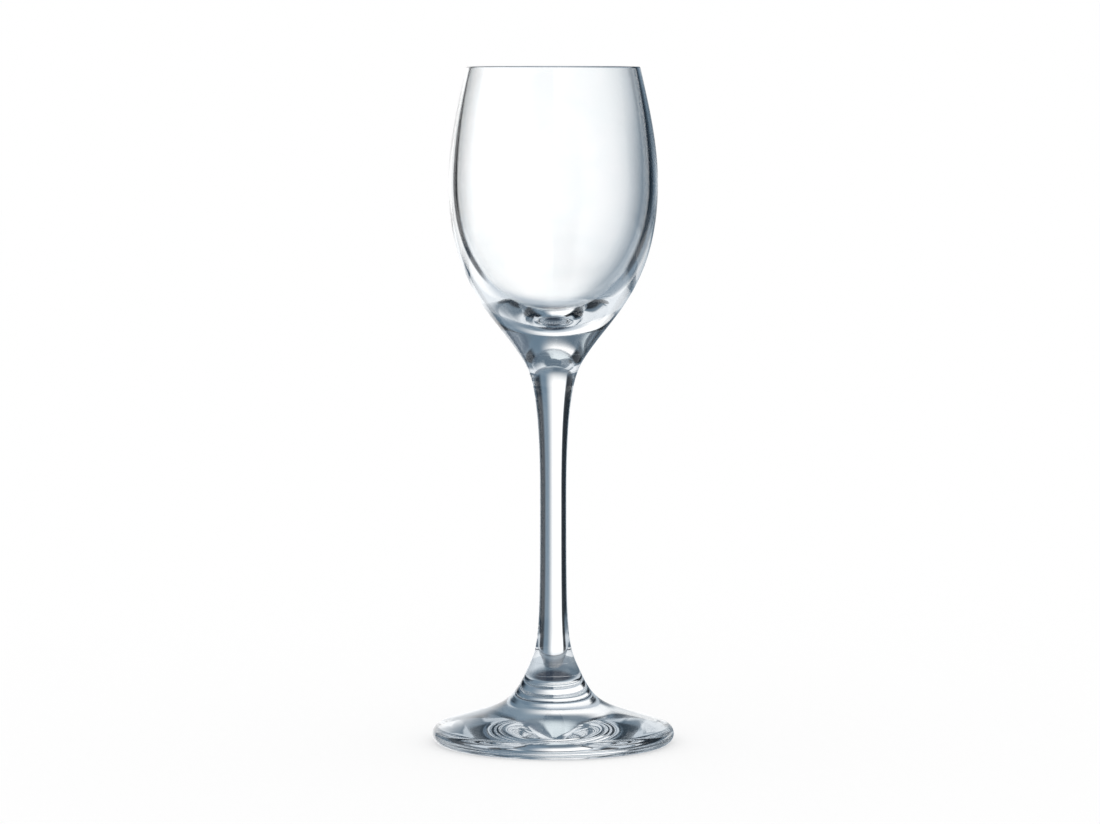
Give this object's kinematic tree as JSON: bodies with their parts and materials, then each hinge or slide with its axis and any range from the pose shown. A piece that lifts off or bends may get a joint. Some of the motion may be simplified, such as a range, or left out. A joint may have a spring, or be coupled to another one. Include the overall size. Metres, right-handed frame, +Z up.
{
  "type": "cordial glass",
  "caption": "Small stemmed drinking glass with a tulip bowl on a slender waisted stem and a round spread foot, for cordials and liqueurs.",
  "frame": {"origin": "centre of the ring that the glass stands on, at table height", "axes": "+Z up along the axis of revolution, from the foot to the rim; X and Y are equal by symmetry"},
  "size_m": [0.0524, 0.0524, 0.146],
  "materials": {
    "clear_glass": "clear colourless glass, fire-polished all over, with a trace of blue-green in the thickest parts"
  },
  "bodies": {
    "root": {"bowl": "clear_glass", "stem": "clear_glass", "foot": "clear_glass"}
  },
  "joints": []
}
